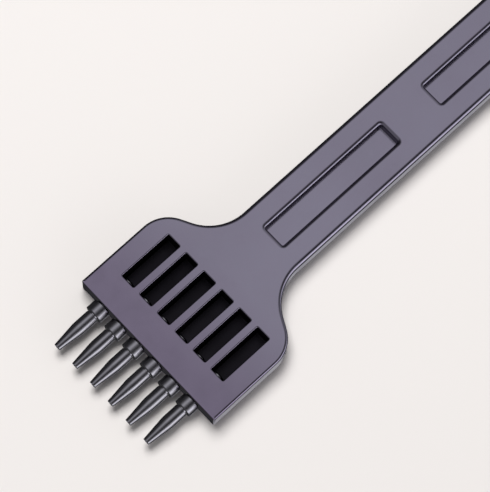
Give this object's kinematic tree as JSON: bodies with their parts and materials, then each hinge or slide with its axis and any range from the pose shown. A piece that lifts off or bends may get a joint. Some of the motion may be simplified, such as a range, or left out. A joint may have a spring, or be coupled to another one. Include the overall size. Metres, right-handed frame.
{
  "type": "pricking iron",
  "caption": "Flat blackened steel hand tool with a row of hollow screw-in punches on a wide windowed head, struck at its far end to make stitching holes in leather.",
  "frame": {"origin": "middle of the whole tool's footprint, on the plane of the body's flat back", "axes": "+Y along the tool towards the struck end, so the punches point to -Y; +Z out of the face with the windows and panels; +X across the tool"},
  "size_m": [0.0372, 0.1304, 0.0046],
  "materials": {
    "blackened_steel": "satin",
    "hardened_steel": "satin"
  },
  "bodies": {
    "iron": {"iron_body": "blackened_steel"},
    "punch_1": {"punch_1": "hardened_steel"},
    "punch_2": {"punch_2": "hardened_steel"},
    "punch_3": {"punch_3": "hardened_steel"},
    "punch_4": {"punch_4": "hardened_steel"},
    "punch_5": {"punch_5": "hardened_steel"},
    "punch_6": {"punch_6": "hardened_steel"}
  },
  "joints": [
    {"name": "punch_1_out", "type": "slide", "parent": "iron", "child": "punch_1", "axis": [0, -1, 0], "range_m": [0, 0.0077]},
    {"name": "punch_2_out", "type": "slide", "parent": "iron", "child": "punch_2", "axis": [0, -1, 0], "range_m": [0, 0.0077]},
    {"name": "punch_3_out", "type": "slide", "parent": "iron", "child": "punch_3", "axis": [0, -1, 0], "range_m": [0, 0.0077]},
    {"name": "punch_4_out", "type": "slide", "parent": "iron", "child": "punch_4", "axis": [0, -1, 0], "range_m": [0, 0.0077]},
    {"name": "punch_5_out", "type": "slide", "parent": "iron", "child": "punch_5", "axis": [0, -1, 0], "range_m": [0, 0.0077]},
    {"name": "punch_6_out", "type": "slide", "parent": "iron", "child": "punch_6", "axis": [0, -1, 0], "range_m": [0, 0.0077]}
  ]
}
